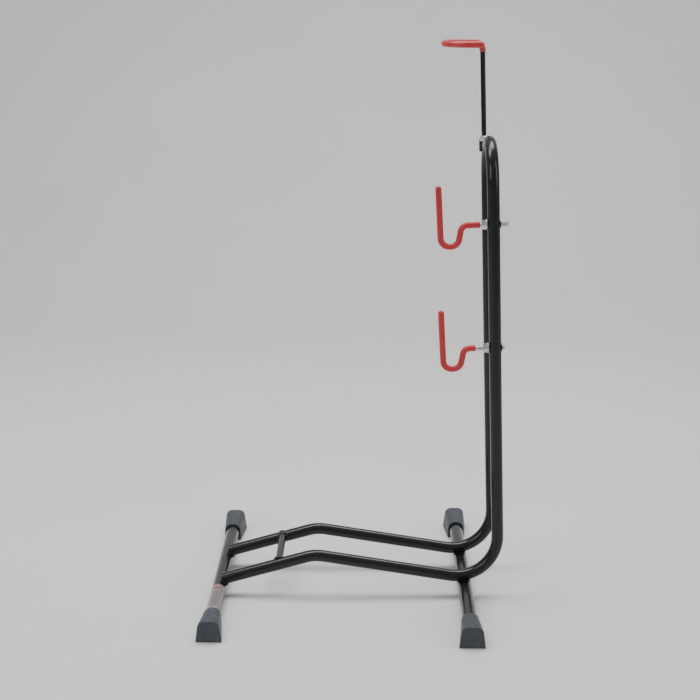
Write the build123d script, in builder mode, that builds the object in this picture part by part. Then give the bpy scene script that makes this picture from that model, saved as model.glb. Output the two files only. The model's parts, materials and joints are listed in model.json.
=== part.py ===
from build123d import *
import os
from math import asin, atan2, cos, degrees, radians, sin, sqrt, tan

os.makedirs("parts", exist_ok=True)

# Bicycle floor stand: one bent tube welded on two crossbars, with two J-hooks on its near leg and a
# swinging hook on top of its arch.
# Millimetres and degrees. The origin is on the floor, under the middle of the bounding box.
# +X runs from the rear crossbar to the legs, -Y is the near side with the J-hooks, +Z is up.

# ---------------------------------------------------------------- driving dimensions

# Tube stock
loop_r = 9.5
bar_r = 11.0
tube_wall = 1.5

# Loop
rail_y = 58.0              # each rail's and leg's centreline from the centre plane, and the arch's radius
bend_r = 66.0              # centreline radius of the tube bender
loop_height = 729.0        # floor to the top of the arch
leg_lean = 2.1             # legs lean back towards the rear crossbar
bend_setback = 15.7        # bend's centre behind the front crossbar
kink_x = 152.5             # kink's corner in front of the rear crossbar
kink_z = 69.0
rail_end_x = 6.0           # rail's end in front of the rear crossbar's centre
rail_end_z = 27.0

# Crossbars, over their feet
bar_spacing = 393.5
bar_z = 15.5
rear_bar_length = 465.0
front_bar_length = 495.0

# Rung
rung_r = 6.0
rung_x = 95.5              # in front of the rear crossbar
rung_rise = 3.5            # above the rails' centreline

# Feet
foot_length = 60.0
foot_end_wall = 6.0
foot_outer_width = 40.0
foot_outer_top = 31.0
foot_outer_height = 34.0
foot_outer_corner = 11.0
foot_wall = 3.0            # round the crossbar, at the mouth
foot_draft = 1.0           # mouth's sides lean in, from the floor to the top
foot_mouth_chamfer = 1.2
foot_edge = 1.5
foot_sole_trim = 1.0       # cut off the drafted block to leave a flat sole

# Hook rod and its dipped coating
rod_r = 4.0
coating_wall = 0.8
run_clearance = 0.05       # rod in a thread that it turns in, on the radius

# J-hooks, measured square to the leg from its centreline
upper_hook_drop = 126.0    # below the top of the arch
hook_spacing = 191.0       # from the upper J-hook down to the lower
upper_thread_reach = 13.0  # thread end beyond the leg's front face
lower_thread_reach = 5.0
upper_coating_x = 20.5     # start of the coating
lower_coating_x = 30.0
hook_fall_x = 47.8         # corner between shank and falling limb
hook_fall_lean = 12.0
hook_bend_r = 11.0
hook_u_width = 25.4
hook_u_r = 13.0
hook_depth = 32.0          # shank to the bottom of the U
hook_height = 88.0         # bottom of the U to the tip
hook_flare = 1.3           # rising limb leans outwards
rod_end_chamfer = 0.8

# Fasteners, M8
nut_across_flats = 13.0
nut_height = 6.5
washer_r = 8.0
washer_thickness = 1.6
insert_r = 6.5
insert_proud = 0.8

# Top hook
boss_r = 8.0
boss_inset = 10.0          # from the far leg's centreline, towards the middle
boss_proud = 0.5           # top face above the arch
boss_offset_x = 4.8        # rod's axis behind the arch, at the boss's top
top_rod_lean = 2.2
top_hook_rise = 137.0      # above the top of the arch
top_hook_reach = 60.5      # rod to the closed end
top_tip_setback = 8.0      # tip's end behind the rod
top_hook_front_y = -30.0
top_hook_u_r = 37.0
top_hook_bend_r = 12.0
top_rod_below = 14.0       # rod's end below the boss's top
top_bare_top = 14.0        # black rod ends this far below the top limb

# Welds and sticker
weld_leg = 3.0
label_thickness = 0.25
label_gap = 3.0            # from the weld and from the foot
label_wrap = 170.0

# ---------------------------------------------------------------- derived layout


def unit(angle):
    """Unit vector in the XZ plane, at an angle above +X."""
    return Vector(cos(radians(angle)), 0, sin(radians(angle)))


def near(point):
    """The same point of the side profile, on the near rail."""
    return Vector(point.X, -rail_y, point.Z)


leg_up = unit(90 + leg_lean)
leg_out = unit(leg_lean)

upper_hook_z = loop_height - upper_hook_drop
lower_hook_z = upper_hook_z - hook_spacing
top_hook_z = loop_height + top_hook_rise

# The bounding box runs from the rear feet to the front of the bends.
bend_rise = sqrt((bend_r + loop_r + bar_r) ** 2 - bend_setback ** 2)
front_reach = bar_spacing - bend_setback + bend_r + loop_r
rear_x = (foot_outer_width / 2 - front_reach) / 2
front_x = rear_x + bar_spacing

# Side profile: the bend rests on the front crossbar, and the rail is tangent to it from the kink.
bend_centre = Vector(front_x - bend_setback, 0, bar_z + bend_rise)
rail_end = Vector(rear_x + rail_end_x, 0, rail_end_z)
kink = Vector(rear_x + kink_x, 0, kink_z)
to_bend = bend_centre - kink
rail_fall = degrees(atan2(to_bend.Z, to_bend.X) - asin(bend_r / to_bend.length))
turn = 90 + leg_lean - rail_fall
corner_out = (unit(rail_fall - 90) + leg_out).normalized()
bend_corner = bend_centre + corner_out * (bend_r / cos(radians(turn / 2)))
spring_z = loop_height - loop_r - rail_y * leg_up.Z
spring = bend_corner + leg_up * ((spring_z - bend_corner.Z) / leg_up.Z)
crown = Vector(spring.X, 0, spring.Z) + leg_up * rail_y

rail_rise = degrees(atan2(kink.Z - rail_end.Z, kink.X - rail_end.X))
rung = Vector(rear_x + rung_x, 0, 0)
rung = rung + Vector(0, 0, rail_end.Z + (rung.X - rail_end.X) * tan(radians(rail_rise)) + rung_rise)

rear_tube_end = rear_bar_length / 2 - foot_end_wall
front_tube_end = front_bar_length / 2 - foot_end_wall


def leg_axis(z):
    """Point of the near leg's centreline at a height."""
    return near(bend_corner + leg_up * ((z - bend_corner.Z) / leg_up.Z))


def hook_plane(z):
    """Plane of a J-hook: its x runs out of the leg's rear face, its y runs up the leg."""
    return Plane(origin=leg_axis(z), x_dir=-leg_out, z_dir=(0, 1, 0))


# The top hook's boss stands just clear of the arch's outer curve at its inner side.
boss_y = rail_y - boss_inset
boss_rise = sqrt((rail_y + loop_r) ** 2 - (boss_y - boss_r) ** 2)
top_rod_up = unit(90 + top_rod_lean)
boss_top = Vector(crown.X - boss_offset_x, boss_y, spring_z + boss_rise * leg_up.Z + boss_proud)
boss_plane = Plane(origin=boss_top, x_dir=(0, 1, 0), z_dir=top_rod_up)
top_corner = boss_top + top_rod_up * ((top_hook_z - boss_top.Z) / top_rod_up.Z)
top_closed_x = top_corner.X - top_hook_reach

# ---------------------------------------------------------------- helpers


def across(z, x, half_length):
    """A solid round bar along Y, centred on the middle plane."""
    bar = Solid.make_cylinder(bar_r, 2 * half_length, Plane((x, -half_length, z), z_dir=(0, 1, 0)))
    return bar


def finish(part, name):
    """Label a finished piece and write it."""
    part.label = name
    export_step(part, "parts/" + name + ".step")


# Solid bars the size of the crossbars, for coping and for welds
rear_bar_volume = across(bar_z, rear_x, rear_tube_end)
front_bar_volume = across(bar_z, front_x, front_tube_end)

# ---------------------------------------------------------------- loop

with BuildLine() as near_half:
    FilletPolyline(near(rail_end), near(kink), near(bend_corner), near(spring), radius=[bend_r, bend_r])
    TangentArc(near(spring), crown, tangent=leg_up)
near_path = near_half.wire()

# The loop's outer volume, for what is fitted round it
with BuildPart() as loop_volume:
    with BuildSketch(Plane(origin=near_path @ 0, z_dir=near_path % 0)):
        Circle(loop_r)
    sweep(path=near_path)
    mirror(about=Plane.XZ)

with BuildPart() as frame_loop:
    with BuildSketch(Plane(origin=near_path @ 0, z_dir=near_path % 0)):
        Circle(loop_r)
        Circle(loop_r - tube_wall, mode=Mode.SUBTRACT)
    sweep(path=near_path)
    mirror(about=Plane.XZ)
    add(rear_bar_volume, mode=Mode.SUBTRACT)
    for hook_z in (upper_hook_z, lower_hook_z):
        with BuildSketch(Plane(origin=leg_axis(hook_z), z_dir=leg_out)):
            Circle(insert_r)
        extrude(amount=2 * loop_r, both=True, mode=Mode.SUBTRACT)
    with BuildSketch(boss_plane):
        Circle(rod_r + 5 * run_clearance)
    extrude(amount=-(top_rod_below + tube_wall), mode=Mode.SUBTRACT)
finish(frame_loop.part, "frame_loop")

# ---------------------------------------------------------------- crossbars and rung


def crossbar(x, half_length, name):
    """A straight tube across the rails, open at its ends."""
    with BuildPart() as bar:
        with BuildSketch(Plane((x, 0, bar_z), x_dir=(1, 0, 0), z_dir=(0, 1, 0))):
            Circle(bar_r)
            Circle(bar_r - tube_wall, mode=Mode.SUBTRACT)
        extrude(amount=half_length, both=True)
    finish(bar.part, name)


crossbar(rear_x, rear_tube_end, "rear_crossbar")
crossbar(front_x, front_tube_end, "front_crossbar")

with BuildPart() as wheel_rung:
    with BuildSketch(Plane(rung, x_dir=(1, 0, 0), z_dir=(0, 1, 0))):
        Circle(rung_r)
    extrude(amount=rail_y, both=True)
    add(loop_volume.part, mode=Mode.SUBTRACT)
finish(wheel_rung.part, "wheel_rung")

# ---------------------------------------------------------------- feet


def foot(x, side, half_length, name):
    """Moulded cap over a crossbar's end; side is -1 near, +1 far."""
    inner_y = side * (half_length - foot_length)
    inner_width = 2 * (bar_r + foot_wall)
    inner_top = inner_width - 2 * foot_draft
    inner_height = bar_z + bar_r + foot_wall
    inner_corner = bar_r + foot_draft
    outer_y = side * half_length
    sections = (
        (inner_y, inner_width, inner_top, inner_height, inner_corner),
        (outer_y, foot_outer_width, foot_outer_top, foot_outer_height, foot_outer_corner),
    )
    with BuildPart() as cap:
        for y, width, top, height, corner in sections:
            with BuildSketch(Plane((x, y, 0), x_dir=(1, 0, 0), z_dir=(0, -1, 0))) as section:
                low = width / 2 + foot_sole_trim * (width - top) / (2 * height)
                with BuildLine():
                    Polyline((-low, -foot_sole_trim), (low, -foot_sole_trim), (top / 2, height),
                             (-top / 2, height), close=True)
                make_face()
                fillet(section.vertices().group_by(Axis.Y)[-1], corner)
        loft()
        split(bisect_by=Plane.XY, keep=Keep.TOP)
        outer_face = cap.faces().sort_by(Axis.Y)[-1 if side > 0 else 0]
        fillet(outer_face.edges(), foot_edge)
        with BuildSketch(Plane((x, inner_y, bar_z), z_dir=(0, side, 0))):
            Circle(bar_r)
        extrude(amount=foot_length - foot_end_wall, mode=Mode.SUBTRACT)
        inner_face = cap.faces().sort_by(Axis.Y)[0 if side > 0 else -1]
        mouth = inner_face.inner_wires()[0]
        chamfer(mouth.edges(), foot_mouth_chamfer)
    finish(cap.part, name)


foot(rear_x, -1, rear_bar_length / 2, "rear_near_foot")
foot(rear_x, 1, rear_bar_length / 2, "rear_far_foot")
foot(front_x, -1, front_bar_length / 2, "front_near_foot")
foot(front_x, 1, front_bar_length / 2, "front_far_foot")

# ---------------------------------------------------------------- welds

# Every bead fills the corner between two tubes: it lies within a weld's leg of both of them.
rail_axis = unit(rail_rise)
with BuildPart() as loop_zone:
    with BuildSketch(Plane(origin=near_path @ 0, z_dir=near_path % 0)):
        Circle(loop_r + weld_leg)
    sweep(path=near_path)
    with BuildSketch(Plane(origin=near_path @ 0, z_dir=-rail_axis)):
        Circle(loop_r + weld_leg)
    extrude(amount=weld_leg)
    mirror(about=Plane.XZ)


def bead(zone, bare, name):
    """Weld between the loop and a bar, from the bar's widened volume and its own."""
    with BuildPart() as weld:
        add(loop_zone.part)
        add(zone, mode=Mode.INTERSECT)
        add(loop_volume.part, mode=Mode.SUBTRACT)
        add(bare, mode=Mode.SUBTRACT)
    finish(weld.part, name)


def bar_zone(x):
    """Volume within a weld's leg of a crossbar."""
    zone = Plane((x, -rear_tube_end, bar_z), z_dir=(0, 1, 0))
    return Solid.make_cylinder(bar_r + weld_leg, 2 * rear_tube_end, zone)


rung_plane = Plane(rung - Vector(0, rail_y, 0), z_dir=(0, 1, 0))
bead(bar_zone(rear_x), rear_bar_volume, "rear_rail_welds")
bead(bar_zone(front_x), front_bar_volume, "front_rail_welds")
bead(
    Solid.make_cylinder(rung_r + weld_leg, 2 * rail_y, rung_plane),
    Solid.make_cylinder(rung_r, 2 * rail_y, rung_plane),
    "rung_welds",
)

# ---------------------------------------------------------------- threaded seats


def insert(z, name):
    """Threaded bush through both walls of the near leg."""
    with BuildPart() as bush:
        with BuildSketch(Plane(origin=leg_axis(z), z_dir=leg_out)):
            Circle(insert_r)
            Circle(rod_r + run_clearance, mode=Mode.SUBTRACT)
        extrude(amount=loop_r + insert_proud, both=True)
    finish(bush.part, name)


insert(upper_hook_z, "upper_hook_insert")
insert(lower_hook_z, "lower_hook_insert")

with BuildPart() as top_hook_boss:
    with BuildSketch(boss_plane):
        Circle(boss_r)
    extrude(amount=-2 * boss_r)
    add(loop_volume.part, mode=Mode.SUBTRACT)
    with BuildSketch(boss_plane):
        Circle(rod_r + run_clearance)
    extrude(amount=-2 * boss_r, mode=Mode.SUBTRACT)
finish(top_hook_boss.part, "top_hook_boss")

boss_foot = Plane(origin=boss_plane.offset(-2 * boss_r).origin, z_dir=top_rod_up)
bead(
    Solid.make_cylinder(boss_r + weld_leg, 2 * boss_r - weld_leg, boss_foot),
    Solid.make_cylinder(boss_r, 2 * boss_r, boss_foot),
    "boss_weld",
)

# ---------------------------------------------------------------- washers and lock nuts


def washer(plane, name):
    """Flat washer on a rod, standing on the plane."""
    with BuildPart() as ring:
        with BuildSketch(plane):
            Circle(washer_r)
            Circle(rod_r + 4 * run_clearance, mode=Mode.SUBTRACT)
        extrude(amount=washer_thickness)
    finish(ring.part, name)


def lock_nut(plane, name):
    """Hexagon nut on a rod, standing on the plane, with its corners turned off."""
    corner_r = nut_across_flats / sqrt(3)
    turned = corner_r - nut_across_flats / 2
    with BuildPart() as blank:
        with BuildSketch(plane):
            Circle(corner_r)
        extrude(amount=nut_height)
        chamfer(blank.edges().filter_by(GeomType.CIRCLE), turned / 2, turned)
    with BuildPart() as nut:
        with BuildSketch(plane):
            RegularPolygon(nut_across_flats / 2, 6, major_radius=False)
            Circle(rod_r + run_clearance, mode=Mode.SUBTRACT)
        extrude(amount=nut_height)
        add(blank.part, mode=Mode.INTERSECT)
    finish(nut.part, name)


def hook_seat(z):
    """Plane on the rear end of a J-hook's insert, facing out along the shank."""
    face = leg_axis(z) - leg_out * (loop_r + insert_proud)
    return Plane(origin=face, x_dir=(0, 1, 0), z_dir=-leg_out)


washer(hook_seat(upper_hook_z), "upper_hook_washer")
washer(hook_seat(lower_hook_z), "lower_hook_washer")
washer(boss_plane, "top_hook_washer")
lock_nut(hook_seat(upper_hook_z).offset(washer_thickness), "upper_hook_nut")
lock_nut(hook_seat(lower_hook_z).offset(washer_thickness), "lower_hook_nut")
lock_nut(boss_plane.offset(washer_thickness), "top_hook_nut")

# ---------------------------------------------------------------- hooks


def rod_and_coating(rod_path, coated_path, name):
    """Write a bent rod, and the dipped coating that closes over its free end."""
    with BuildPart() as rod:
        with BuildSketch(Plane(origin=rod_path @ 0, z_dir=rod_path % 0)):
            Circle(rod_r)
        sweep(path=rod_path)
        thread_face = rod.faces().filter_by(GeomType.PLANE).sort_by_distance(rod_path @ 0)[0]
        chamfer(thread_face.edges(), rod_end_chamfer)
    finish(rod.part, name + "_rod")
    with BuildPart() as coating:
        with BuildSketch(Plane(origin=coated_path @ 0, z_dir=coated_path % 0)):
            Circle(rod_r + coating_wall)
        sweep(path=coated_path)
        with Locations(coated_path @ 1):
            Sphere(rod_r + coating_wall)
        add(rod.part, mode=Mode.SUBTRACT)
    finish(coating.part, name + "_coating")


def j_hook(z, reach, coating_x, name):
    """J-hook in the near leg, with its thread reaching a given way beyond the leg's front face."""
    low_x = hook_fall_x + hook_depth * tan(radians(hook_fall_lean))
    rise_x = low_x + hook_u_width
    tip_x = rise_x + hook_height * tan(radians(hook_flare))
    bends = [
        (hook_fall_x, 0),
        (low_x, -hook_depth),
        (rise_x, -hook_depth),
        (tip_x, hook_height - hook_depth),
    ]
    radii = [hook_bend_r, hook_u_r, hook_u_r]
    with BuildLine(hook_plane(z)) as whole:
        FilletPolyline((-(loop_r + reach), 0), *bends, radius=radii)
    with BuildLine(hook_plane(z)) as coated:
        FilletPolyline((coating_x, 0), *bends, radius=radii)
    rod_and_coating(whole.wire(), coated.wire(), name)


j_hook(upper_hook_z, upper_thread_reach, upper_coating_x, "upper_hook")
j_hook(lower_hook_z, lower_thread_reach, lower_coating_x, "lower_hook")

top_bends = [
    top_corner,
    Vector(top_closed_x, boss_y, top_hook_z),
    Vector(top_closed_x, top_hook_front_y, top_hook_z),
    Vector(top_corner.X - top_tip_setback, top_hook_front_y, top_hook_z),
]
top_radii = [top_hook_bend_r, top_hook_u_r, top_hook_u_r]
with BuildLine() as top_whole:
    FilletPolyline(boss_top - top_rod_up * top_rod_below, *top_bends, radius=top_radii)
with BuildLine() as top_coated:
    FilletPolyline(top_corner - top_rod_up * top_bare_top, *top_bends, radius=top_radii)
rod_and_coating(top_whole.wire(), top_coated.wire(), "top_hook")

# ---------------------------------------------------------------- sticker

label_start = rail_y + loop_r + 2 * weld_leg + label_gap
label_end = rear_bar_length / 2 - foot_length - label_gap
with BuildPart() as label:
    with BuildSketch(Plane((rear_x, -label_start, bar_z), x_dir=(1, 0, 0), z_dir=(0, -1, 0))):
        with BuildLine():
            first = 90 - label_wrap / 2
            outer = CenterArc((0, 0), bar_r + label_thickness, first, label_wrap)
            inner = CenterArc((0, 0), bar_r, first, label_wrap)
            Line(outer @ 0, inner @ 0)
            Line(outer @ 1, inner @ 1)
        make_face()
    extrude(amount=label_end - label_start)
finish(label.part, "label")
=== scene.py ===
"""Looks of a bicycle floor stand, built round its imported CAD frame. Lengths below are in millimetres."""

import json
import math

import bpy
import numpy as np
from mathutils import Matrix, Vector, noise


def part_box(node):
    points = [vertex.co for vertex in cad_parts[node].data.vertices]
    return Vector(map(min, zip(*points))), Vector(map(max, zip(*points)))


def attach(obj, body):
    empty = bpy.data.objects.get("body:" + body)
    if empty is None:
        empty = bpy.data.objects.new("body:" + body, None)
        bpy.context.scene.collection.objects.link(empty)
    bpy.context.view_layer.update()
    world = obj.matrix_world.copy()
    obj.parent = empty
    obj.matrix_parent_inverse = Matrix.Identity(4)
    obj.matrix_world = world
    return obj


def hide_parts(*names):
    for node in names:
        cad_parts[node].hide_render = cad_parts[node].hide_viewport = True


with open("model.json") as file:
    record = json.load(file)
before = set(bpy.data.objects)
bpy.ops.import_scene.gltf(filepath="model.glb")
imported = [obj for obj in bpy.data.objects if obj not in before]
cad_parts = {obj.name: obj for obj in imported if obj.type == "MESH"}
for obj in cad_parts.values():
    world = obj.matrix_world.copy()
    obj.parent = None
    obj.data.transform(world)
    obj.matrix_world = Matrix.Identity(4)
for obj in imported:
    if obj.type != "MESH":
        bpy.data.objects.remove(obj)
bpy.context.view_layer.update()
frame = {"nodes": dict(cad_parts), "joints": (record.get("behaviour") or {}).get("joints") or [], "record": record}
MM = 0.001

# ---------------------------------------------------------------- sizes of the remodelled pieces

ROD_R = 4.0
THREAD_PITCH = 1.25
THREAD_DEPTH = 0.72
THREAD_CREST, THREAD_FLANK = 0.1, 0.78  # shares of half a pitch, flat crest and flank
THREAD_RUN_OUT, THREAD_POINT, POINT_LENGTH = 3.0, 1.1, 1.3
CREST_CLEARANCE = 0.02
COAT_R = 4.8
LIP_START, LIP_RISE, LIP_SWELL, LIP_AT, LIP_SPREAD = 0.12, 1.4, 0.1, 2.0, 1.1
DOME_REACH, DOME_FALL = 1.03, 1.035  # of the coating's radius
BEND_R, U_R, TOP_U_R, TOP_BEND_R = 11.0, 13.0, 37.0, 12.0
FALL_X, FALL_LEAN, U_WIDTH = 47.8, 12.0, 25.4
HOOK_DEPTH, HOOK_HEIGHT, HOOK_FLARE = 32.0, 88.0, 1.3
THREAD_END = {"upper_hook": -22.5, "lower_hook": -14.5}
COAT_START = {"upper_hook": 20.5, "lower_hook": 30.0}
TIP_SETBACK, ROD_BELOW, BARE_TOP, TOP_THREAD = 8.0, 14.0, 14.0, 16.0
LABEL_THICKNESS = 0.25
LOOP_R, LOOP_BEND_R, BAR_R, INSERT_R, TUBE_WALL = 9.5, 66.0, 11.0, 6.5, 1.5
BEND_SETBACK, KINK_X, KINK_Z, RAIL_END_X, RAIL_END_Z = 15.7, 152.5, 69.0, 6.0, 27.0
INSERT_GRIP, TOP_ROD_GAP = 0.1, 0.25

# ---------------------------------------------------------------- mesh helpers


def joint(name):
    return next(j for j in frame["joints"] if j["name"] == name)


def piece(name, verts, faces, body, mat, replaces=(), sharp=40.0):
    """A smooth-shaded mesh of the object, in metres, riding on a CAD body."""
    mesh = bpy.data.meshes.new(name)
    mesh.from_pydata([tuple(v) for v in verts], [], [tuple(f) for f in faces])
    mesh.update()
    mesh.shade_smooth()
    mesh.set_sharp_from_angle(angle=math.radians(sharp))
    obj = bpy.data.objects.new(name, mesh)
    bpy.context.scene.collection.objects.link(obj)
    mesh.materials.append(mat)
    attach(obj, body)
    if replaces:
        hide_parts(*replaces)
    return obj


def rounded(points, radii, step=0.8):
    """Points along a polyline in millimetres, with its corners rounded to the given radii."""
    pts = [np.array(p, float) for p in points]
    out = [pts[0]]

    def straight(a, b, pitch):
        n = max(1, int(math.ceil(np.linalg.norm(b - a) / pitch)))
        return [a + (b - a) * (k / n) for k in range(1, n + 1)]

    here = pts[0]
    for k, r in enumerate(radii, start=1):
        u = pts[k] - pts[k - 1]
        v = pts[k + 1] - pts[k]
        u, v = u / np.linalg.norm(u), v / np.linalg.norm(v)
        turn = math.acos(max(-1.0, min(1.0, float(u @ v))))
        cut = r * math.tan(turn / 2)
        a, b = pts[k] - u * cut, pts[k] + v * cut
        out += straight(here, a, 4.0)
        side = v - u * float(u @ v)
        side /= np.linalg.norm(side)
        centre = a + side * r
        n = max(4, int(math.ceil(turn * r / step)))
        for i in range(1, n + 1):
            t = turn * i / n
            out.append(centre - side * r * math.cos(t) + u * r * math.sin(t))
        here = b
    out += straight(here, pts[-1], 4.0)
    return np.array(out)


def along(path):
    """Distance along a path at each of its points."""
    return np.concatenate([[0.0], np.cumsum(np.linalg.norm(np.diff(path, axis=0), axis=1))])


def frames(path, start):
    """Two normals carried along a path without twist."""
    tan = np.gradient(path, axis=0)
    tan /= np.linalg.norm(tan, axis=1)[:, None]
    n1 = np.zeros_like(path)
    first = np.array(start, float)
    first -= tan[0] * (first @ tan[0])
    n1[0] = first / np.linalg.norm(first)
    for k in range(1, len(path)):
        v = n1[k - 1] - tan[k] * (n1[k - 1] @ tan[k])
        n1[k] = v / np.linalg.norm(v)
    return n1, np.cross(tan, n1)


def circles(path, segments, start):
    """Unit vectors round a path: one row per point, one column per segment."""
    n1, n2 = frames(path, start)
    ang = np.linspace(0, 2 * math.pi, segments, endpoint=False)
    return np.cos(ang)[None, :, None] * n1[:, None, :] + np.sin(ang)[None, :, None] * n2[:, None, :]


def swept(name, path, radius, body, mat, replaces, segments, start, sharp):
    """A round section carried along a path; radius is one row per point, one column per segment."""
    r = np.broadcast_to(np.asarray(radius, float), (len(path), segments))
    ring = path[:, None, :] + r[:, :, None] * circles(path, segments, start)
    verts = list(ring.reshape(-1, 3) * MM)
    n = len(path)
    faces = []
    for i in range(n - 1):
        a, b = i * segments, (i + 1) * segments
        for j in range(segments):
            k = (j + 1) % segments
            faces.append((a + j, a + k, b + k, b + j))
    faces.append(tuple(range(segments - 1, -1, -1)))
    faces.append(tuple((n - 1) * segments + j for j in range(segments)))
    return piece(name, verts, faces, body, mat, replaces, sharp)


def tube(name, path, radius, wall, body, mat, replaces, segments, start):
    """A round tube carried along a path, open at both ends."""
    outward = circles(path, segments, start)
    verts = np.concatenate([
        (path[:, None, :] + radius * outward).reshape(-1, 3),
        (path[:, None, :] + (radius - wall) * outward).reshape(-1, 3),
    ]) * MM
    n = len(path)
    inner = n * segments
    last = (n - 1) * segments
    faces = []
    for j in range(segments):
        k = (j + 1) % segments
        for i in range(n - 1):
            a, b = i * segments, (i + 1) * segments
            faces.append((a + j, a + k, b + k, b + j))
            faces.append((inner + a + j, inner + b + j, inner + b + k, inner + a + k))
        faces.append((j, inner + j, inner + k, k))
        faces.append((last + j, last + k, inner + last + k, inner + last + j))
    return piece(name, list(verts), faces, body, mat, replaces)


def baked(obj):
    """The object's mesh with its modifiers applied."""
    bpy.context.view_layer.update()
    return bpy.data.meshes.new_from_object(obj.evaluated_get(bpy.context.evaluated_depsgraph_get()))


def wander(points, scale, amount):
    """Slow unevenness of a dipped or moulded surface at points in millimetres."""
    flat = points.reshape(-1, 3)
    out = np.array([noise.noise(Vector(p * scale)) for p in flat])
    return out.reshape(points.shape[:-1]) * amount


# ---------------------------------------------------------------- materials


class Shader:
    """A Principled material with procedural detail in object space."""

    def __init__(self, name, color, metallic, roughness, **extra):
        self.mat = bpy.data.materials.new(name)
        self.mat.use_nodes = True
        self.mat.diffuse_color = (*color, 1.0)
        self.tree = self.mat.node_tree
        self.bsdf = self.tree.nodes["Principled BSDF"]
        self.set("Base Color", (*color, 1.0))
        self.set("Metallic", metallic)
        self.set("Roughness", roughness)
        for key, value in extra.items():
            self.set(key.replace("_", " "), value)
        coords = self.tree.nodes.new("ShaderNodeTexCoord")
        self.place = coords.outputs["Object"]
        self.height = None

    def set(self, socket, value):
        self.bsdf.inputs[socket].default_value = value

    def node(self, kind, **values):
        made = self.tree.nodes.new(kind)
        for key, value in values.items():
            setattr(made, key, value)
        return made

    def link(self, a, b):
        self.tree.links.new(a, b)

    def noise(self, scale, detail=3.0, rough=0.55, stretch=None):
        n = self.node("ShaderNodeTexNoise")
        n.inputs["Scale"].default_value = scale
        n.inputs["Detail"].default_value = detail
        n.inputs["Roughness"].default_value = rough
        source = self.place
        if stretch:
            m = self.node("ShaderNodeMapping")
            m.inputs["Scale"].default_value = stretch
            self.link(source, m.inputs["Vector"])
            source = m.outputs["Vector"]
        self.link(source, n.inputs["Vector"])
        return n.outputs["Fac"]

    def remap(self, fac, lo, hi, out_lo, out_hi):
        m = self.node("ShaderNodeMapRange")
        for key, value in (("From Min", lo), ("From Max", hi), ("To Min", out_lo), ("To Max", out_hi)):
            m.inputs[key].default_value = value
        self.link(fac, m.inputs["Value"])
        return m.outputs["Result"]

    def maths(self, op, a, b):
        m = self.node("ShaderNodeMath", operation=op)
        for socket, value in zip(m.inputs, (a, b)):
            if isinstance(value, (int, float)):
                socket.default_value = value
            else:
                self.link(value, socket)
        return m.outputs[0]

    def blend(self, fac, a, b):
        m = self.node("ShaderNodeMix", data_type="RGBA")
        self.link(fac, m.inputs["Factor"])
        for name, value in (("A", a), ("B", b)):
            socket = next(s for s in m.inputs if s.name == name and s.type == "RGBA")
            if isinstance(value, tuple):
                socket.default_value = (*value, 1.0)
            else:
                self.link(value, socket)
        return next(s for s in m.outputs if s.type == "RGBA")

    def bump(self, height, strength, distance):
        b = self.node("ShaderNodeBump")
        b.inputs["Strength"].default_value = strength
        b.inputs["Distance"].default_value = distance * MM
        self.link(height, b.inputs["Height"])
        if self.height:
            self.link(self.height, b.inputs["Normal"])
        self.height = b.outputs["Normal"]
        self.link(self.height, self.bsdf.inputs["Normal"])

    def up(self, lo, hi):
        """How far the surface faces upwards, from 0 to 1."""
        g = self.node("ShaderNodeNewGeometry")
        s = self.node("ShaderNodeSeparateXYZ")
        self.link(g.outputs["Normal"], s.inputs[0])
        return self.remap(s.outputs["Z"], lo, hi, 0.0, 1.0)


def black_paint():
    """Glossy black powder coat: orange peel, a little dust on top, faint rub marks."""
    s = Shader("black_powder_coat", (0.009, 0.009, 0.01), 0.0, 0.2, Coat_Weight=0.12, Coat_Roughness=0.06,
               Specular_IOR_Level=0.3)
    dust = s.maths("MULTIPLY", s.up(0.35, 1.0), s.remap(s.noise(60, 5), 0.4, 0.7, 0.15, 0.75))
    specks = s.remap(s.noise(900, 2), 0.66, 0.74, 0.0, 0.5)
    rubbed = s.remap(s.noise(28, 6, 0.65, (1.0, 1.0, 0.25)), 0.45, 0.72, 0.0, 1.0)
    tint = s.blend(s.maths("MULTIPLY", dust, 0.2), (0.009, 0.009, 0.01), (0.06, 0.058, 0.055))
    tint = s.blend(s.maths("MULTIPLY", specks, 0.25), tint, (0.16, 0.155, 0.15))
    s.link(tint, s.bsdf.inputs["Base Color"])
    rough = s.maths("ADD", s.remap(rubbed, 0.0, 1.0, 0.15, 0.28), s.maths("MULTIPLY", dust, 0.18))
    s.link(rough, s.bsdf.inputs["Roughness"])
    s.bump(s.noise(420, 2, 0.4), 0.16, 0.05)
    s.bump(s.noise(2600, 1, 0.3), 0.06, 0.02)
    return s.mat


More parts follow.
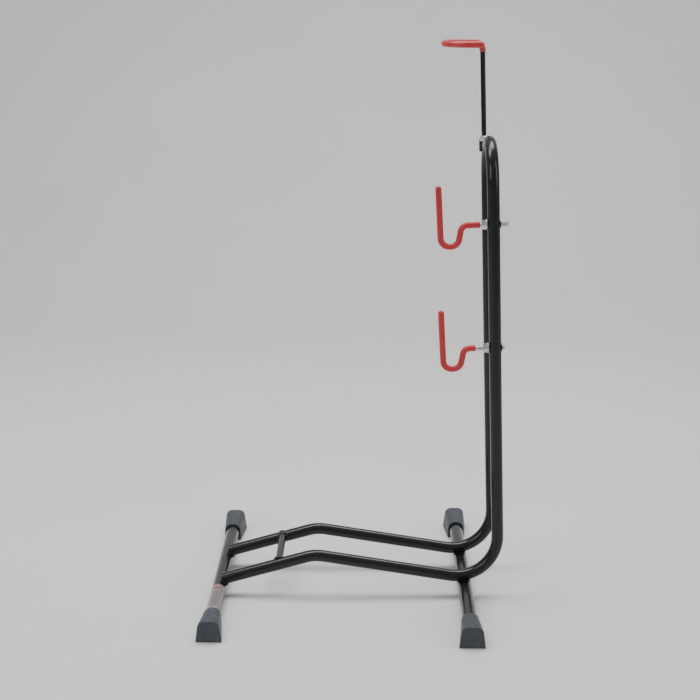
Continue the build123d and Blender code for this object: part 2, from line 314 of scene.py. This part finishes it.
def foot_plastic():
    """Moulded dark grey plastic with a spark-eroded grain, scuffed paler near the floor."""
    s = Shader("foot_plastic", (0.055, 0.062, 0.074), 0.0, 0.5, Specular_IOR_Level=0.3)
    low = s.node("ShaderNodeSeparateXYZ")
    s.link(s.place, low.inputs[0])
    near_floor = s.remap(low.outputs["Z"], 0.0, 0.012, 1.0, 0.0)
    scuff = s.maths("MULTIPLY", near_floor, s.remap(s.noise(220, 6), 0.5, 0.7, 0.0, 1.0))
    dust = s.maths("MULTIPLY", s.up(0.3, 1.0), s.remap(s.noise(45, 5), 0.35, 0.7, 0.1, 0.8))
    tone = s.remap(s.noise(90, 4), 0.3, 0.7, 0.0, 1.0)
    tint = s.blend(tone, (0.044, 0.051, 0.062), (0.054, 0.061, 0.072))
    tint = s.blend(s.maths("MULTIPLY", dust, 0.06), tint, (0.13, 0.13, 0.13))
    tint = s.blend(s.maths("MULTIPLY", scuff, 0.5), tint, (0.2, 0.2, 0.2))
    s.link(tint, s.bsdf.inputs["Base Color"])
    s.link(s.remap(s.noise(150, 4), 0.3, 0.7, 0.42, 0.6), s.bsdf.inputs["Roughness"])
    s.bump(s.noise(2200, 3, 0.6), 0.3, 0.08)
    s.bump(s.noise(60, 2), 0.1, 0.3)
    return s.mat


def red_vinyl():
    """Dipped soft vinyl: even red with slow waves, faint scuffs and a soft gloss."""
    s = Shader("red_vinyl", (0.5, 0.02, 0.027), 0.0, 0.36, Subsurface_Weight=0.06, Subsurface_Scale=0.001,
               Coat_Weight=0.12, Coat_Roughness=0.2)
    tone = s.remap(s.noise(70, 4), 0.3, 0.7, 0.0, 1.0)
    tint = s.blend(tone, (0.46, 0.016, 0.024), (0.54, 0.026, 0.032))
    scuff = s.remap(s.noise(380, 6, 0.7), 0.6, 0.72, 0.0, 0.35)
    tint = s.blend(scuff, tint, (0.34, 0.03, 0.035))
    s.link(tint, s.bsdf.inputs["Base Color"])
    s.link(s.remap(s.noise(130, 5), 0.3, 0.7, 0.3, 0.46), s.bsdf.inputs["Roughness"])
    s.bump(s.noise(110, 2), 0.35, 0.25)
    s.bump(s.noise(1700, 3), 0.12, 0.03)
    return s.mat


def zinc(name, brushed):
    """Bright zinc plate: cool grey with a faint bloom and fine turning marks."""
    s = Shader(name, (0.62, 0.63, 0.63), 1.0, 0.3)
    tone = s.remap(s.noise(240, 4), 0.3, 0.7, 0.0, 1.0)
    tint = s.blend(tone, (0.56, 0.57, 0.58), (0.68, 0.68, 0.66))
    bloom = s.remap(s.noise(700, 5, 0.7), 0.56, 0.72, 0.0, 0.6)
    tint = s.blend(bloom, tint, (0.78, 0.78, 0.76))
    s.link(tint, s.bsdf.inputs["Base Color"])
    rough = s.remap(s.noise(500, 4), 0.3, 0.7, 0.22, 0.36)
    s.link(s.maths("ADD", rough, s.maths("MULTIPLY", bloom, 0.2)), s.bsdf.inputs["Roughness"])
    s.bump(s.noise(1500, 3, 0.6, brushed), 0.18, 0.03)
    return s.mat


def printed(name, color, rough=0.3):
    """Printed vinyl film, with a little fading and handling wear."""
    s = Shader(name, color, 0.0, rough, Coat_Weight=0.15, Coat_Roughness=0.15)
    worn = s.remap(s.noise(800, 6, 0.7), 0.6, 0.75, 0.0, 0.5)
    shade = tuple(c * 0.72 for c in color)
    faded = s.remap(s.noise(160, 3), 0.3, 0.7, 0.0, 1.0)
    s.link(s.blend(faded, color, shade), s.bsdf.inputs["Base Color"])
    s.link(s.maths("ADD", rough, s.maths("MULTIPLY", worn, 0.3)), s.bsdf.inputs["Roughness"])
    s.bump(s.noise(350, 2), 0.1, 0.05)
    return s.mat


BLACK = black_paint()
FOOT = foot_plastic()
RED = red_vinyl()
ZINC = zinc("zinc_plate", (1.0, 1.0, 1.0))
ZINC_ROD = zinc("zinc_rod", (1.0, 1.0, 4.0))
FILM_RED = printed("film_red", (0.13, 0.012, 0.015))
FILM_WHITE = printed("film_white", (0.31, 0.28, 0.28))
FILM_GREY = printed("film_grey", (0.17, 0.14, 0.14))
FILM_ROSE = printed("film_rose", (0.26, 0.09, 0.09))

SLOT_MATERIAL = {
    "black_paint": BLACK,
    "foot_plastic": FOOT,
    "red_vinyl": RED,
    "zinc": ZINC,
    "zinc_rod": ZINC_ROD,
    "sticker": FILM_WHITE,
}
for row in frame["record"]["subparts"]:
    node = frame["nodes"][row["node"]]
    node.data.materials.clear()
    node.data.materials.append(SLOT_MATERIAL[row["material_slot"]])


def softened(node, width, segments=3, angle=32.0):
    """Break a CAD node's edges with a small bevel, so that they catch the light."""
    o = frame["nodes"][node]
    weld = o.modifiers.new("weld", "WELD")
    weld.merge_threshold = 2e-6
    bevel = o.modifiers.new("edges", "BEVEL")
    bevel.width = width * MM
    bevel.segments = segments
    bevel.limit_method = "ANGLE"
    bevel.angle_limit = math.radians(angle)
    bevel.harden_normals = True
    bevel.use_clamp_overlap = True


# ---------------------------------------------------------------- hook rods and their coatings

SEGMENTS = 48
ANGLES = np.linspace(0, 2 * math.pi, SEGMENTS, endpoint=False)


def ease(values):
    """Values held between 0 and 1."""
    return np.clip(values, 0, 1)


def threaded_rod(name, start, axis, length, rest, side, body, mat, node):
    """A rod with a right-hand thread from its end for a length, then plain along the rest of its path."""
    per_turn = 12
    xs = np.arange(0, length, THREAD_PITCH / per_turn)
    path = np.concatenate([start[None, :] + xs[:, None] * axis[None, :], rest])
    s = along(path)
    phase = s[:, None] / THREAD_PITCH - ANGLES[None, :] / (2 * math.pi)
    wave = ease((np.abs((phase % 1.0) * 2 - 1) - THREAD_CREST) / THREAD_FLANK)
    depth = THREAD_DEPTH * wave * ease((s[len(xs)] - 0.5 - s) / THREAD_RUN_OUT)[:, None]
    point = ROD_R - THREAD_POINT + THREAD_POINT * ease(s / POINT_LENGTH)[:, None]
    radius = np.minimum(ROD_R - CREST_CLEARANCE - depth, point)
    swept(name, path, radius, body, mat, [node], SEGMENTS, side, 60.0)


def dipped_vinyl(name, path, side, body, node):
    """A dipped coating: a thin lip where the dip began, slow waves, and a rounded drip at the tip."""
    first = (path[1] - path[0]) / np.linalg.norm(path[1] - path[0])
    last = (path[-1] - path[-2]) / np.linalg.norm(path[-1] - path[-2])
    lip = np.array([0.0, 0.15, 0.4, 0.9, 1.6, 2.4])
    dome = np.sin(np.linspace(0, math.pi / 2, 14))[1:] * COAT_R * DOME_REACH
    path = np.concatenate([
        path[:1] + first * lip[:, None],
        path[1:],
        path[-1:] + last * dome[:, None],
    ])
    s = along(path)
    radius = np.minimum(COAT_R, ROD_R + LIP_START + (COAT_R - ROD_R) * np.sqrt(ease(s / LIP_RISE)))
    radius = radius + LIP_SWELL * np.exp(-(((s - LIP_AT) / LIP_SPREAD) ** 2))
    radius[-len(dome):] = COAT_R * np.sqrt(ease(1 - (dome / (COAT_R * DOME_FALL)) ** 2))
    skin = path[:, None, :] + COAT_R * circles(path, SEGMENTS, side)
    uneven = wander(skin, 0.07, 0.09) + wander(skin + 50.0, 0.28, 0.03)
    fade = np.clip((s[-1] - s) / 6.0, 0.15, 1)[:, None] * ease(s / 3.0)[:, None]
    radius = radius[:, None] + uneven * fade
    swept(name, path, radius, body, RED, [node], SEGMENTS, side, 70.0)


for body in ("upper_hook", "lower_hook"):
    turn = joint(body + "_turn")
    origin = np.array(turn["pos_m"]) / MM
    out = -np.array(turn["axis"], float)
    out /= np.linalg.norm(out)
    up = np.array([out[2], 0.0, -out[0]])

    def at(x, y):
        return origin + out * x + up * y

    low_x = FALL_X + HOOK_DEPTH * math.tan(math.radians(FALL_LEAN))
    rise_x = low_x + U_WIDTH
    tip_x = rise_x + HOOK_HEIGHT * math.tan(math.radians(HOOK_FLARE))
    path = rounded(
        [
            at(COAT_START[body], 0),
            at(FALL_X, 0),
            at(low_x, -HOOK_DEPTH),
            at(rise_x, -HOOK_DEPTH),
            at(tip_x, HOOK_HEIGHT - HOOK_DEPTH),
        ],
        [BEND_R, U_R, U_R],
    )
    thread = COAT_START[body] - THREAD_END[body]
    threaded_rod(body + "_threaded_rod", at(THREAD_END[body], 0), out, thread, path, (0, 1, 0), body,
                 ZINC_ROD, body + "_rod")
    dipped_vinyl(body + "_dipped_vinyl", path, (0, 1, 0), body, body + "_coating")

swing = joint("top_hook_swing")
top_axis = np.array(swing["axis"], float)
top_foot = np.array(swing["pos_m"]) / MM
lo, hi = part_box("top_hook_coating")
hook_z = hi.z / MM - COAT_R
closed_x = lo.x / MM + COAT_R
front_y = lo.y / MM + COAT_R
corner = top_foot + top_axis * ((hook_z - top_foot[2]) / top_axis[2])
top_bends = [
    corner,
    np.array([closed_x, top_foot[1], hook_z]),
    np.array([closed_x, front_y, hook_z]),
    np.array([corner[0] - TIP_SETBACK, front_y, hook_z]),
]
top_radii = [TOP_BEND_R, TOP_U_R, TOP_U_R]
# The black rod is threaded through the boss and the nut, with a short run-out above.
path = rounded([top_foot + top_axis * TOP_THREAD] + top_bends, top_radii)
threaded_rod("top_hook_black_rod", top_foot - top_axis * ROD_BELOW, top_axis, ROD_BELOW + TOP_THREAD,
             path, (1, 0, 0), "top_hook", BLACK, "top_hook_rod")
path = rounded([corner - top_axis * BARE_TOP] + top_bends, top_radii)
dipped_vinyl("top_hook_dipped_vinyl", path, (1, 0, 0), "top_hook", "top_hook_coating")

# ---------------------------------------------------------------- loop

# The bent tube is swept again with a fine, even section, so that its gloss runs unbroken.
lo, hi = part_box("frame_loop")
bar_lo, bar_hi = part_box("rear_crossbar")
rear_x = (bar_lo.x + bar_hi.x) / 2 / MM
bar_lo, bar_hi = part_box("front_crossbar")
front_x = (bar_lo.x + bar_hi.x) / 2 / MM
bar_z = (bar_lo.z + bar_hi.z) / 2 / MM
lean = np.array(joint("upper_hook_turn")["axis"], float)
leg_up = np.array([-lean[2], 0.0, lean[0]])
leg = np.array(joint("upper_hook_turn")["pos_m"]) / MM
rail_y = -leg[1]
bend_x = front_x - BEND_SETBACK
bend_z = bar_z + math.sqrt((LOOP_BEND_R + LOOP_R + BAR_R) ** 2 - BEND_SETBACK**2)
rail_end = np.array([rear_x + RAIL_END_X, -rail_y, RAIL_END_Z])
kink = np.array([rear_x + KINK_X, -rail_y, KINK_Z])
to_bend = np.array([bend_x, -rail_y, bend_z]) - kink
bend_reach = math.hypot(to_bend[0], to_bend[2])
fall = math.atan2(to_bend[2], to_bend[0]) - math.asin(LOOP_BEND_R / bend_reach)
rail = np.array([math.cos(fall), 0.0, math.sin(fall)])
# The corner is where the rail's line meets the leg's line.
lines = np.array([[rail[0], -leg_up[0]], [rail[2], -leg_up[2]]])
along_rail, _ = np.linalg.solve(lines, np.array([leg[0] - kink[0], leg[2] - kink[2]]))
bend_corner = kink + rail * along_rail
spring_z = hi.z / MM - LOOP_R - rail_y * leg_up[2]
spring = bend_corner + leg_up * ((spring_z - bend_corner[2]) / leg_up[2])
half = rounded([rail_end, kink, bend_corner, spring], [LOOP_BEND_R, LOOP_BEND_R], 1.5)
arch_centre = np.array([spring[0], 0.0, spring[2]])
arch = [
    arch_centre + rail_y * (np.array([0.0, -math.cos(a), 0.0]) + leg_up * math.sin(a))
    for a in np.linspace(0, math.pi, 96)[1:-1]
]
path = np.concatenate([half, np.array(arch), half[::-1] * np.array([1.0, -1.0, 1.0])])
loop = tube("loop_tube", path, LOOP_R, TUBE_WALL, "frame", BLACK, ["frame_loop"], 64,
            (0, 0, 1))


def bored(obj, name, centre, axis, radius, length):
    """Cut a round hole through a piece."""
    cutter = bpy.data.meshes.new(name)
    w = np.array(axis, float) / np.linalg.norm(axis)
    u = np.cross(w, (0.0, 1.0, 0.0))
    u /= np.linalg.norm(u)
    v = np.cross(w, u)
    verts, faces = [], []
    count = SEGMENTS
    for end in (-length / 2, length / 2):
        middle = np.array(centre) + w * end
        for a in ANGLES:
            verts.append(tuple((middle + radius * (u * math.cos(a) + v * math.sin(a))) * MM))
    for j in range(count):
        k = (j + 1) % count
        faces.append((j, k, count + k, count + j))
    faces += [tuple(range(count - 1, -1, -1)), tuple(range(count, 2 * count))]
    cutter.from_pydata(verts, [], faces)
    tool = bpy.data.objects.new(name, cutter)
    bpy.context.scene.collection.objects.link(tool)
    cut = obj.modifiers.new(name, "BOOLEAN")
    cut.object = tool
    cut.operation = "DIFFERENCE"
    cut.solver = "EXACT"
    mesh = baked(obj)
    obj.modifiers.clear()
    old = obj.data
    obj.data = mesh
    bpy.data.meshes.remove(old)
    bpy.data.objects.remove(tool)


for name in ("upper_hook_turn", "lower_hook_turn"):
    seat = joint(name)
    seat_point = np.array(seat["pos_m"]) / MM
    bored(loop, name + "_hole", seat_point, seat["axis"], INSERT_R - INSERT_GRIP, 40.0)
bored(loop, "top_rod_hole", top_foot - top_axis * 10.0, top_axis, ROD_R + TOP_ROD_GAP, 20.0)

# ---------------------------------------------------------------- welds


def welded(node, centres, axis, ripple=1.7, height=0.32):
    """The CAD bead, rounded off and rippled round its joint, for each of its solids."""
    source = frame["nodes"][node]
    copy = bpy.data.objects.new(node + "_work", source.data.copy())
    bpy.context.scene.collection.objects.link(copy)
    glue = copy.modifiers.new("glue", "WELD")
    glue.merge_threshold = 2e-6
    remesh = copy.modifiers.new("remesh", "REMESH")
    remesh.mode = "VOXEL"
    remesh.voxel_size = 0.35 * MM
    soft = copy.modifiers.new("soft", "SMOOTH")
    soft.factor = 0.5
    soft.iterations = 45
    mesh = baked(copy)
    bpy.data.objects.remove(copy)
    n = len(mesh.vertices)
    co = np.zeros(n * 3)
    mesh.vertices.foreach_get("co", co)
    co = co.reshape(-1, 3) / MM
    nor = np.zeros(n * 3)
    mesh.vertices.foreach_get("normal", nor)
    nor = nor.reshape(-1, 3)
    axis = np.array(axis, float) / np.linalg.norm(axis)
    u = np.cross(axis, (0.31, 0.87, 0.38))
    u /= np.linalg.norm(u)
    v = np.cross(axis, u)
    centres = np.array(centres, float)
    which = np.argmin(((co[:, None, :] - centres[None]) ** 2).sum(2), 1)
    d = co - centres[which]
    radial = np.hypot(d @ u, d @ v)
    rings = [which == k for k in range(len(centres))]
    mean = np.array([radial[ring].mean() if ring.any() else 1.0 for ring in rings])[which]
    turn = np.arctan2(d @ v, d @ u)
    count = np.maximum(6, np.round(2 * math.pi * mean / ripple))
    phase = turn * count / 2 + 0.35 * (radial - mean) * ripple
    lift = (np.abs(np.sin(phase)) - 0.62) * height + wander(co, 0.35, 0.25)
    co = co + nor * lift[:, None]
    mesh.vertices.foreach_set("co", (co * MM).ravel())
    mesh.update()
    mesh.shade_smooth()
    obj = bpy.data.objects.new(node + "_bead", mesh)
    bpy.context.scene.collection.objects.link(obj)
    mesh.materials.clear()
    mesh.materials.append(BLACK)
    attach(obj, "frame")
    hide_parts(node)
    return obj


def solid_centres(node):
    """Middle of the near and the far half of a mirrored pair of beads."""
    co = np.array([v.co for v in frame["nodes"][node].data.vertices]) / MM
    return [(co[side].min(0) + co[side].max(0)) / 2 for side in (co[:, 1] < 0, co[:, 1] > 0)]


welded("rear_rail_welds", solid_centres("rear_rail_welds"), (0.96, 0, 0.28))
welded("front_rail_welds", solid_centres("front_rail_welds"), (0, 0, 1))
welded("rung_welds", solid_centres("rung_welds"), (0, 1, 0))
welded("boss_weld", [top_foot - top_axis * 9.0], top_axis)

# ---------------------------------------------------------------- machined and moulded edges

for name in ("upper_hook", "lower_hook", "top_hook"):
    softened(name + "_nut", 0.22)
    softened(name + "_washer", 0.25)
softened("upper_hook_insert", 0.2)
softened("lower_hook_insert", 0.2)
softened("top_hook_boss", 0.5)
for name in ("rear_near_foot", "rear_far_foot", "front_near_foot", "front_far_foot"):
    softened(name, 0.7, 3, 25.0)

# ---------------------------------------------------------------- sticker

lo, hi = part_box("label")
bar_x = (lo.x + hi.x) / 2 / MM
bar_z = hi.z / MM - BAR_R - LABEL_THICKNESS
FILM_THICKNESS = 0.12


def film(name, y0, y1, a0, a1, lift, corner_mm, mat, replaces=()):
    """A thin patch wrapped on the crossbar; angles are from the top, positive towards +X."""
    r = BAR_R + lift
    rows, cols = 40, 36
    half = math.radians(a1 - a0) / 2
    mid = math.radians(a0 + a1) / 2
    verts, faces = [], []
    for side in (0.0, -FILM_THICKNESS):
        for i in range(rows + 1):
            y = y0 + (y1 - y0) * (0.5 - 0.5 * math.cos(math.pi * i / rows))
            edge = min(y - y0, y1 - y)
            cut = 0.0
            if edge < corner_mm:
                cut = corner_mm - math.sqrt(max(0.0, corner_mm**2 - (corner_mm - edge) ** 2))
            reach = half - cut / r
            for j in range(cols + 1):
                a = mid + reach * (2 * j / cols - 1)
                x, z = bar_x + (r + side) * math.sin(a), bar_z + (r + side) * math.cos(a)
                verts.append((x * MM, y * MM, z * MM))
    step = cols + 1
    base = (rows + 1) * step
    for i in range(rows):
        for j in range(cols):
            a = i * step + j
            faces.append((a, a + 1, a + step + 1, a + step))
            faces.append((base + a, base + a + step, base + a + step + 1, base + a + 1))
    rim = [i * step for i in range(rows + 1)] + [rows * step + j for j in range(1, cols + 1)]
    rim += [i * step + cols for i in range(rows - 1, -1, -1)] + [j for j in range(cols - 1, 0, -1)]
    for k, a in enumerate(rim):
        b = rim[(k + 1) % len(rim)]
        faces.append((a, b, base + b, base + a))
    return piece(name, verts, faces, "frame", mat, replaces, 50.0)


y0, y1 = lo.y / MM, hi.y / MM
film("label_red_ground", y0, y1, -85, 85, 0.12, 4.0, FILM_RED, ["label"])
film("label_white_panel", y0 + 3.5, y1 - 3.5, -50, 62, 0.2, 3.0, FILM_WHITE)
film("label_grey_block", y0 + 9, y1 - 26, -32, 26, 0.26, 1.5, FILM_GREY)
film("label_red_block", y1 - 22, y1 - 9, -32, 26, 0.26, 1.5, FILM_ROSE)
film("label_grey_line", y0 + 9, y1 - 9, 36, 44, 0.26, 0.6, FILM_GREY)

# ---------------------------------------------------------------- floor, backdrop, light


def backdrop():
    """A floor that curves up into a back wall."""
    rows = []
    depth, wall, r = 2.6, 4.0, 0.9
    rows.append((-6.0, 0.0))
    rows.append((depth - r, 0.0))
    for k in range(1, 25):
        t = math.pi / 2 * k / 24
        rows.append((depth - r + r * math.sin(t), r - r * math.cos(t)))
    rows.append((depth, wall))
    verts, faces = [], []
    for y, z in rows:
        verts += [(-7.0, y, z), (7.0, y, z)]
    for k in range(len(rows) - 1):
        a = 2 * k
        faces.append((a, a + 1, a + 3, a + 2))
    mesh = bpy.data.meshes.new("studio_sweep")
    mesh.from_pydata(verts, [], faces)
    mesh.shade_smooth()
    obj = bpy.data.objects.new("studio_sweep", mesh)
    bpy.context.scene.collection.objects.link(obj)
    s = Shader("pale_floor", (0.7, 0.7, 0.7), 0.0, 0.6)
    tone = s.remap(s.noise(3, 4), 0.3, 0.7, 0.0, 1.0)
    s.link(s.blend(tone, (0.69, 0.69, 0.69), (0.71, 0.71, 0.71)), s.bsdf.inputs["Base Color"])
    mesh.materials.append(s.mat)


def softbox(name, place, aim, width, height, watts):
    """A rectangular studio light."""
    light = bpy.data.lights.new(name, "AREA")
    light.shape = "RECTANGLE"
    light.size, light.size_y = width, height
    light.energy = watts
    obj = bpy.data.objects.new(name, light)
    obj.location = place
    obj.rotation_euler = (Vector(aim) - Vector(place)).to_track_quat("-Z", "Y").to_euler()
    bpy.context.scene.collection.objects.link(obj)


backdrop()
softbox("overhead", (-0.2, 0.45, 2.7), (0.0, 0.0, 0.3), 3.0, 1.0, 84)
softbox("left_front", (-2.4, -2.0, 1.9), (0.0, 0.0, 0.4), 1.2, 1.8, 26)
softbox("right_strip", (2.3, -0.9, 1.4), (0.1, 0.0, 0.4), 0.5, 2.2, 16)

world = bpy.data.worlds.new("studio")
bpy.context.scene.world = world
world.use_nodes = True
world.node_tree.nodes["Background"].inputs["Color"].default_value = (1.0, 1.0, 1.0, 1.0)
world.node_tree.nodes["Background"].inputs["Strength"].default_value = 0.38

# ---------------------------------------------------------------- camera

EYE = Vector((0.0204, -2.2, 0.965))
LOOK = Vector((-0.008, 0.0, 0.392))
cam = bpy.data.cameras.new("camera")
cam.lens = 74.0
cam.sensor_width = 36.0
cam.clip_end = 50.0
camera = bpy.data.objects.new("camera", cam)
camera.location = EYE
camera.rotation_euler = (LOOK - EYE).to_track_quat("-Z", "Y").to_euler()
bpy.context.scene.collection.objects.link(camera)
bpy.context.scene.camera = camera
